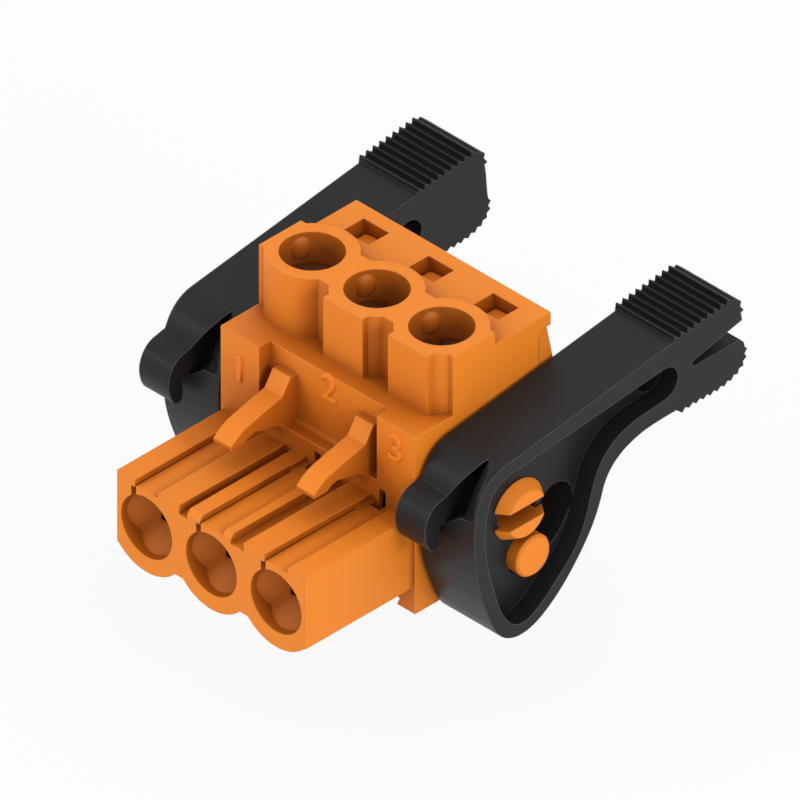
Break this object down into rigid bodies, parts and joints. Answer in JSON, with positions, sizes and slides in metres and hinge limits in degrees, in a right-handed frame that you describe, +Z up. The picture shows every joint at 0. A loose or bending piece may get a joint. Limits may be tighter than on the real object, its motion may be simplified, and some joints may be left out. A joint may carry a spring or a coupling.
{
  "type": "pluggable terminal block",
  "caption": "Pluggable cable connector with screw clamps for the wires, sockets for header pins and a release lever at each end.",
  "frame": {"origin": "on the mating face's plane, at the axis of the middle contact", "axes": "+X along the row of poles, +Y from the mating face toward the wire entries, +Z up toward the screw heads"},
  "size_m": [0.0248, 0.0297, 0.0168],
  "materials": {
    "orange_plastic": "fine moulded polyamide",
    "black_plastic": "fine moulded polyamide",
    "tinned_copper": "tin-plated copper alloy sheet",
    "plated_steel": "zinc-plated steel"
  },
  "bodies": {
    "body": {"housing": "orange_plastic", "rear_cover": "orange_plastic", "contact_1": "tinned_copper", "contact_2": "tinned_copper", "contact_3": "tinned_copper"},
    "lever_left": {"lever_left": "black_plastic"},
    "lever_right": {"lever_right": "black_plastic"},
    "yoke_1": {"yoke_1": "plated_steel"},
    "clamp_screw_1": {"clamp_screw_1": "plated_steel"},
    "yoke_2": {"yoke_2": "plated_steel"},
    "clamp_screw_2": {"clamp_screw_2": "plated_steel"},
    "yoke_3": {"yoke_3": "plated_steel"},
    "clamp_screw_3": {"clamp_screw_3": "plated_steel"}
  },
  "joints": [
    {"name": "lever_left_swing", "type": "hinge", "parent": "body", "child": "lever_left", "pos_m": [-0.01005, 0.0129, 0.00291], "axis": [1, 0, 0], "range_deg": [-57, 0]},
    {"name": "lever_right_swing", "type": "hinge", "parent": "body", "child": "lever_right", "pos_m": [0.01005, 0.0129, 0.00291], "axis": [1, 0, 0], "range_deg": [-57, 0]},
    {"name": "clamp_screw_1_turn", "type": "hinge", "parent": "body", "child": "clamp_screw_1", "pos_m": [-0.00508, 0.013, 0.0085], "axis": [0, 0, -1], "range_deg": [0, 2730]},
    {"name": "yoke_1_lift", "type": "slide", "parent": "body", "child": "yoke_1", "axis": [0, 0, 1], "range_m": [0, 0.0034]},
    {"name": "clamp_screw_2_turn", "type": "hinge", "parent": "body", "child": "clamp_screw_2", "pos_m": [0, 0.013, 0.0085], "axis": [0, 0, -1], "range_deg": [0, 2730]},
    {"name": "yoke_2_lift", "type": "slide", "parent": "body", "child": "yoke_2", "axis": [0, 0, 1], "range_m": [0, 0.0034]},
    {"name": "clamp_screw_3_turn", "type": "hinge", "parent": "body", "child": "clamp_screw_3", "pos_m": [0.00508, 0.013, 0.0085], "axis": [0, 0, -1], "range_deg": [0, 2730]},
    {"name": "yoke_3_lift", "type": "slide", "parent": "body", "child": "yoke_3", "axis": [0, 0, 1], "range_m": [0, 0.0034]}
  ],
  "couplings": [
    {"joint": "clamp_screw_1_turn", "follows": "yoke_1_lift", "rad_per_m": 13963},
    {"joint": "clamp_screw_2_turn", "follows": "yoke_2_lift", "rad_per_m": 13963},
    {"joint": "clamp_screw_3_turn", "follows": "yoke_3_lift", "rad_per_m": 13963}
  ]
}
